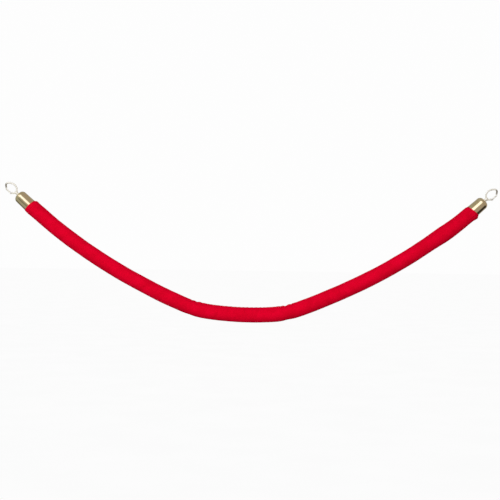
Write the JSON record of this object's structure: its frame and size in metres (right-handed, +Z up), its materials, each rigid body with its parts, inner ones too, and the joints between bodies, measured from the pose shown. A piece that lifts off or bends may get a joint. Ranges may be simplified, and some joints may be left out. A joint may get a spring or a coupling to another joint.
{
  "type": "velvet barrier rope",
  "caption": "Velvet-covered barrier rope hanging in its sag, with brass end caps and swivelling snap hooks that clip to a post's ring.",
  "frame": {"origin": "inside of the left hook's bow, where the post's ring bears", "axes": "+X along the span from the left hook to the right hook, +Z up, +Y away from the front; the rope lies in the XZ plane"},
  "size_m": [1.3016, 0.0398, 0.3626],
  "materials": {
    "velvet": "red cut-pile velvet",
    "core_filling": "off-white soft filling",
    "load_cord": "white laid cord",
    "plug_wood": "turned, unfinished",
    "cap_brass": "polished",
    "hook_brass": "polished plating on a casting",
    "screw_brass": "polished",
    "steel": "zinc plated",
    "spring_steel": "drawn wire"
  },
  "bodies": {
    "rope": {"velvet_sleeve": "velvet", "foam_core": "core_filling", "load_cord": "load_cord", "left_end_cap": "cap_brass", "left_end_plug": "plug_wood", "left_binding_ring": "steel", "left_cap_screws": "screw_brass", "left_stud_washer": "steel", "right_end_cap": "cap_brass", "right_end_plug": "plug_wood", "right_binding_ring": "steel", "right_cap_screws": "screw_brass", "right_stud_washer": "steel"},
    "left_hook": {"left_swivel_stud": "steel", "left_hook_body": "hook_brass", "left_gate_pin": "steel", "left_gate_spring": "spring_steel"},
    "left_gate": {"left_hook_gate": "hook_brass"},
    "right_hook": {"right_swivel_stud": "steel", "right_hook_body": "hook_brass", "right_gate_pin": "steel", "right_gate_spring": "spring_steel"},
    "right_gate": {"right_hook_gate": "hook_brass"}
  },
  "joints": [
    {"name": "left_swivel", "type": "hinge", "parent": "rope", "child": "left_hook", "pos_m": [0.02855, 0, -0.02598], "axis": [-0.7396, 0, 0.673], "continuous": true},
    {"name": "left_gate_hinge", "type": "hinge", "parent": "left_hook", "child": "left_gate", "pos_m": [0.01031, 0, -0.02344], "axis": [0, 1, 0], "range_deg": [0, 50], "stiffness_Nm_per_rad": 0.01, "springref_deg": -22.92, "deforming": ["left_gate_spring"]},
    {"name": "right_swivel", "type": "hinge", "parent": "rope", "child": "right_hook", "pos_m": [1.26345, 0, -0.02598], "axis": [0.7396, 0, 0.673], "continuous": true},
    {"name": "right_gate_hinge", "type": "hinge", "parent": "right_hook", "child": "right_gate", "pos_m": [1.28169, 0, -0.02344], "axis": [0, -1, 0], "range_deg": [0, 50], "stiffness_Nm_per_rad": 0.01, "springref_deg": -22.92, "deforming": ["right_gate_spring"]}
  ]
}
